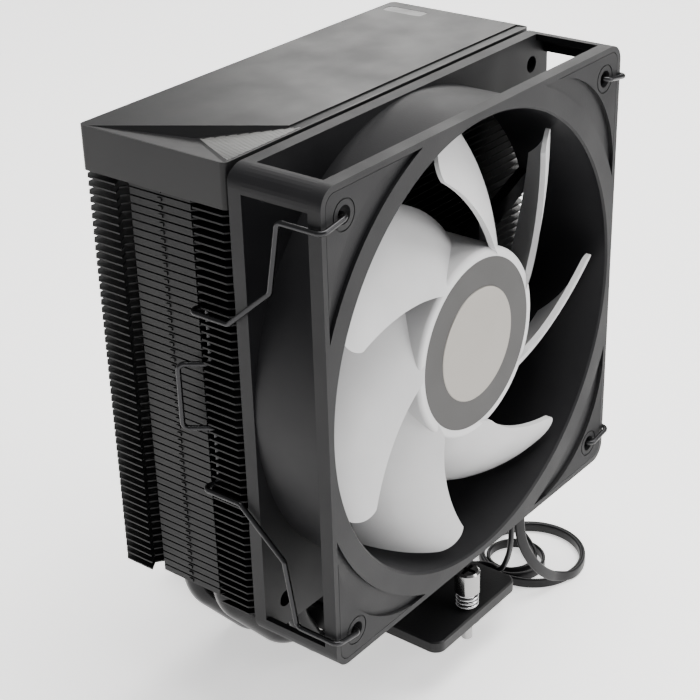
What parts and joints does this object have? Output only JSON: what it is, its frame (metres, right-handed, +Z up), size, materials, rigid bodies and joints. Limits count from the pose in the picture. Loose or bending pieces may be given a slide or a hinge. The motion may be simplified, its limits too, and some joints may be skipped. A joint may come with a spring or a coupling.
{
  "type": "cpu tower cooler",
  "caption": "Tower heatsink with a fin stack, U-shaped heat pipes, moulded top cover and a clipped-on axial fan over a flat cold plate with a spring-screw mounting bar.",
  "frame": {"origin": "middle of the cold plate's contact face, which is also the plane it stands on", "axes": "+Z up through the fin stack, the fan faces -Y, +X to the right seen from the fan's front"},
  "size_m": [0.1278, 0.0979, 0.155],
  "materials": {
    "bare_plate": "machined flat, bare metal",
    "black_fins": "black coated, half matt",
    "cover_plastic": "satin black moulding",
    "silver_trim": "silver lacquer over fine ribs",
    "badge": "plain dark badge",
    "black_steel": "black lacquered steel",
    "chrome": "polished",
    "steel": "bare spring steel",
    "frame_plastic": "fine textured charcoal plastic",
    "pad_rubber": "matt rubber",
    "bearing_metal": "turned",
    "laminations": "stacked sheet steel",
    "copper_wire": "enamelled wire",
    "board": "solder mask",
    "led": "white package",
    "label": "plain foil label",
    "magnet": "moulded ferrite",
    "frosted": "frosted translucent plastic",
    "hub_grey": "mid grey ring",
    "hub_silver": "spun satin disc",
    "cable_black": "black insulation",
    "plug_black": "moulded plug"
  },
  "bodies": {
    "tower": {"bar_screws": "chrome", "base_cap": "black_fins", "bearing_tube": "bearing_metal", "cable_guide": "frame_plastic", "cold_plate": "bare_plate", "corner_pads_front": "pad_rubber", "corner_pads_rear": "pad_rubber", "cover_badge": "badge", "fan_cable": "cable_black", "fan_cable_coil": "cable_black", "fan_connector": "plug_black", "fan_frame": "frame_plastic", "fin_stack": "black_fins", "heat_pipe_1": "black_fins", "heat_pipe_2": "black_fins", "heat_pipe_3": "black_fins", "heat_pipe_4": "black_fins", "leds": "led", "light_cable": "cable_black", "light_cable_coil": "cable_black", "light_cable_end": "cable_black", "light_connector": "plug_black", "motor_lead": "cable_black", "motor_pcb": "board", "mounting_bar": "black_steel", "rear_label": "label", "ribbed_trim": "silver_trim", "sleeve_bearing": "bearing_metal", "spring_front": "chrome", "spring_rear": "chrome", "stator_core": "laminations", "stator_windings": "copper_wire", "thrust_cap": "frame_plastic", "top_cover": "cover_plastic"},
    "rotor": {"impeller": "frosted", "rotor_cup": "steel", "rotor_magnet": "magnet", "rotor_shaft": "steel", "shaft_washer": "steel", "hub_ring": "hub_grey", "hub_disc": "hub_silver"},
    "clip_left": {"wire_clip_left": "black_steel"},
    "clip_right": {"wire_clip_right": "black_steel"},
    "ring_front": {"retaining_ring_front": "steel"},
    "ring_rear": {"retaining_ring_rear": "steel"},
    "screw_front": {"spring_screw_front": "chrome"},
    "screw_rear": {"spring_screw_rear": "chrome"}
  },
  "joints": [
    {"name": "fan_spin", "type": "hinge", "parent": "tower", "child": "rotor", "pos_m": [0, -0.036, 0.095], "axis": [0, -1, 0], "continuous": true},
    {"name": "clip_left_swing", "type": "hinge", "parent": "tower", "child": "clip_left", "pos_m": [-0.0565, -0.0117, 0.095], "axis": [0, 0, -1], "range_deg": [0, 2], "stiffness_Nm_per_rad": 0.05},
    {"name": "clip_right_swing", "type": "hinge", "parent": "tower", "child": "clip_right", "pos_m": [0.0565, -0.0117, 0.095], "axis": [0, 0, 1], "range_deg": [0, 2], "stiffness_Nm_per_rad": 0.05},
    {"name": "screw_front_press", "type": "slide", "parent": "tower", "child": "ring_front", "axis": [0, 0, -1], "range_m": [0, 0.002], "stiffness_N_per_m": 300, "deforming": ["spring_front"]},
    {"name": "screw_front_turn", "type": "hinge", "parent": "ring_front", "child": "screw_front", "pos_m": [0, -0.044, 0.0216], "axis": [0, 0, -1], "continuous": true},
    {"name": "screw_rear_press", "type": "slide", "parent": "tower", "child": "ring_rear", "axis": [0, 0, -1], "range_m": [0, 0.002], "stiffness_N_per_m": 300, "deforming": ["spring_rear"]},
    {"name": "screw_rear_turn", "type": "hinge", "parent": "ring_rear", "child": "screw_rear", "pos_m": [0, 0.044, 0.0216], "axis": [0, 0, -1], "continuous": true}
  ]
}
